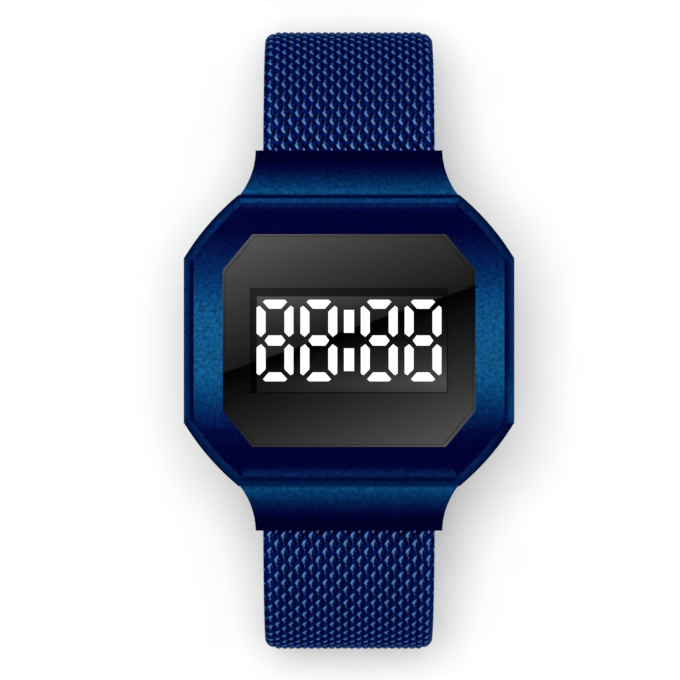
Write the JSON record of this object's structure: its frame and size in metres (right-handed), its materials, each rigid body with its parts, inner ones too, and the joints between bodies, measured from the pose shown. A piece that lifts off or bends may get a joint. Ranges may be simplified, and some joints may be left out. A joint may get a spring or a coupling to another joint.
{
  "type": "digital wristwatch",
  "caption": "Octagonal digital wristwatch with a lit segment display under flat glass, hooded strap ends and a woven wire strap closed by a sliding clasp.",
  "frame": {"origin": "on the surface that the clasp stands on, below the centre of the case", "axes": "+Z out of the dial, +Y towards 12 o'clock, +X towards 3 o'clock"},
  "size_m": [0.038, 0.0742, 0.0499],
  "materials": {
    "case_metal": "sandblasted metallic blue",
    "bezel_metal": "sandblasted metallic navy",
    "mesh_wire": "bright metallic navy wire",
    "clasp_metal": "satin metallic blue",
    "steel": "satin",
    "glass": "clear, polished",
    "gasket": "matt",
    "display_black": "glossy black",
    "digit_white": "lit white",
    "board_green": "solder mask",
    "chip_black": "moulded",
    "contact_gold": "plated",
    "holder_white": "moulded",
    "film_amber": "thin film"
  },
  "bodies": {
    "head": {"case_middle": "case_metal", "bezel": "bezel_metal", "glass": "glass", "glass_gasket": "gasket", "display_frame": "display_black", "led_display": "display_black", "digit_segments": "digit_white", "circuit_board": "board_green", "controller_chip": "chip_black", "quartz_crystal": "steel", "touch_spring": "contact_gold", "module_holder": "holder_white", "coin_cell": "steel", "positive_clip": "contact_gold", "negative_contact": "contact_gold", "insulating_sheet": "film_amber", "case_back": "steel", "back_gasket": "gasket", "back_screws": "steel", "upper_spring_bar": "steel", "upper_bar_spring": "steel", "lower_spring_bar": "steel", "lower_bar_spring": "steel"},
    "upper_tip_left": {"upper_bar_tip_left": "steel"},
    "upper_tip_right": {"upper_bar_tip_right": "steel"},
    "upper_strap_0": {"upper_end_tube": "clasp_metal", "upper_mesh_0": "mesh_wire"},
    "upper_strap_1": {"upper_mesh_1": "mesh_wire"},
    "upper_strap_2": {"upper_mesh_2": "mesh_wire"},
    "upper_strap_3": {"upper_mesh_3": "mesh_wire"},
    "upper_strap_4": {"upper_mesh_4": "mesh_wire"},
    "upper_strap_5": {"upper_mesh_5": "mesh_wire"},
    "upper_strap_6": {"upper_mesh_6": "mesh_wire", "hook_plate": "clasp_metal"},
    "lower_tip_left": {"lower_bar_tip_left": "steel"},
    "lower_tip_right": {"lower_bar_tip_right": "steel"},
    "lower_strap_0": {"lower_end_tube": "clasp_metal", "lower_mesh_0": "mesh_wire"},
    "lower_strap_1": {"lower_mesh_1": "mesh_wire"},
    "lower_strap_2": {"lower_mesh_2": "mesh_wire"},
    "lower_strap_3": {"lower_mesh_3": "mesh_wire"},
    "lower_strap_4": {"lower_mesh_4": "mesh_wire"},
    "lower_strap_5": {"lower_mesh_5": "mesh_wire"},
    "lower_strap_6": {"lower_mesh_6": "mesh_wire", "mesh_end_cap": "clasp_metal"},
    "clasp": {"clasp_slider": "clasp_metal", "catch_bar": "steel", "flap_pin": "steel"},
    "flap": {"lock_flap": "clasp_metal"}
  },
  "joints": [
    {"name": "upper_tip_left_slide", "type": "slide", "parent": "head", "child": "upper_tip_left", "axis": [1, 0, 0], "range_m": [0, 0.001], "stiffness_N_per_m": 1000, "deforming": ["upper_bar_spring"]},
    {"name": "upper_tip_right_slide", "type": "slide", "parent": "head", "child": "upper_tip_right", "axis": [-1, 0, 0], "range_m": [0, 0.001], "stiffness_N_per_m": 1000, "deforming": ["upper_bar_spring"]},
    {"name": "upper_strap_swing", "type": "hinge", "parent": "head", "child": "upper_strap_0", "pos_m": [0, 0.0189, 0.04394], "axis": [1, 0, 0], "range_deg": [0, 12]},
    {"name": "upper_bend_1", "type": "hinge", "parent": "upper_strap_0", "child": "upper_strap_1", "pos_m": [0, 0.02728, 0.04072], "axis": [1, 0, 0], "range_deg": [0, 27]},
    {"name": "upper_bend_2", "type": "hinge", "parent": "upper_strap_1", "child": "upper_strap_2", "pos_m": [0, 0.03328, 0.03473], "axis": [1, 0, 0], "range_deg": [0, 27]},
    {"name": "upper_bend_3", "type": "hinge", "parent": "upper_strap_2", "child": "upper_strap_3", "pos_m": [0, 0.03607, 0.02614], "axis": [1, 0, 0], "range_deg": [0, 27]},
    {"name": "upper_bend_4", "type": "hinge", "parent": "upper_strap_3", "child": "upper_strap_4", "pos_m": [0, 0.03457, 0.01669], "axis": [1, 0, 0], "range_deg": [0, 27]},
    {"name": "upper_bend_5", "type": "hinge", "parent": "upper_strap_4", "child": "upper_strap_5", "pos_m": [0, 0.02863, 0.0085], "axis": [1, 0, 0], "range_deg": [0, 27]},
    {"name": "upper_bend_6", "type": "hinge", "parent": "upper_strap_5", "child": "upper_strap_6", "pos_m": [0, 0.01913, 0.00366], "axis": [1, 0, 0], "range_deg": [0, 27]},
    {"name": "lower_tip_left_slide", "type": "slide", "parent": "head", "child": "lower_tip_left", "axis": [1, 0, 0], "range_m": [0, 0.001], "stiffness_N_per_m": 1000, "deforming": ["lower_bar_spring"]},
    {"name": "lower_tip_right_slide", "type": "slide", "parent": "head", "child": "lower_tip_right", "axis": [-1, 0, 0], "range_m": [0, 0.001], "stiffness_N_per_m": 1000, "deforming": ["lower_bar_spring"]},
    {"name": "lower_strap_swing", "type": "hinge", "parent": "head", "child": "lower_strap_0", "pos_m": [0, -0.0189, 0.04394], "axis": [-1, 0, 0], "range_deg": [0, 12]},
    {"name": "lower_bend_1", "type": "hinge", "parent": "lower_strap_0", "child": "lower_strap_1", "pos_m": [0, -0.02728, 0.04072], "axis": [-1, 0, 0], "range_deg": [0, 27]},
    {"name": "lower_bend_2", "type": "hinge", "parent": "lower_strap_1", "child": "lower_strap_2", "pos_m": [0, -0.03328, 0.03473], "axis": [-1, 0, 0], "range_deg": [0, 27]},
    {"name": "lower_bend_3", "type": "hinge", "parent": "lower_strap_2", "child": "lower_strap_3", "pos_m": [0, -0.03607, 0.02614], "axis": [-1, 0, 0], "range_deg": [0, 27]},
    {"name": "lower_bend_4", "type": "hinge", "parent": "lower_strap_3", "child": "lower_strap_4", "pos_m": [0, -0.03457, 0.01669], "axis": [-1, 0, 0], "range_deg": [0, 27]},
    {"name": "lower_bend_5", "type": "hinge", "parent": "lower_strap_4", "child": "lower_strap_5", "pos_m": [0, -0.02863, 0.0085], "axis": [-1, 0, 0], "range_deg": [0, 27]},
    {"name": "lower_bend_6", "type": "hinge", "parent": "lower_strap_5", "child": "lower_strap_6", "pos_m": [0, -0.01913, 0.00366], "axis": [-1, 0, 0], "range_deg": [0, 27]},
    {"name": "clasp_slide", "type": "slide", "parent": "lower_strap_6", "child": "clasp", "axis": [0, -1, 0], "range_m": [0, 0.006]},
    {"name": "lock_flap_hinge", "type": "hinge", "parent": "clasp", "child": "flap", "pos_m": [0, 0.00537, 0.001], "axis": [1, 0, 0], "range_deg": [0, 110]}
  ],
  "couplings": [
    {"joint": "upper_bend_2", "follows": "upper_bend_1", "ratio": 1},
    {"joint": "upper_bend_3", "follows": "upper_bend_1", "ratio": 1},
    {"joint": "upper_bend_4", "follows": "upper_bend_1", "ratio": 1},
    {"joint": "upper_bend_5", "follows": "upper_bend_1", "ratio": 1},
    {"joint": "upper_bend_6", "follows": "upper_bend_1", "ratio": 1},
    {"joint": "lower_bend_2", "follows": "lower_bend_1", "ratio": 1},
    {"joint": "lower_bend_3", "follows": "lower_bend_1", "ratio": 1},
    {"joint": "lower_bend_4", "follows": "lower_bend_1", "ratio": 1},
    {"joint": "lower_bend_5", "follows": "lower_bend_1", "ratio": 1},
    {"joint": "lower_bend_6", "follows": "lower_bend_1", "ratio": 1}
  ]
}
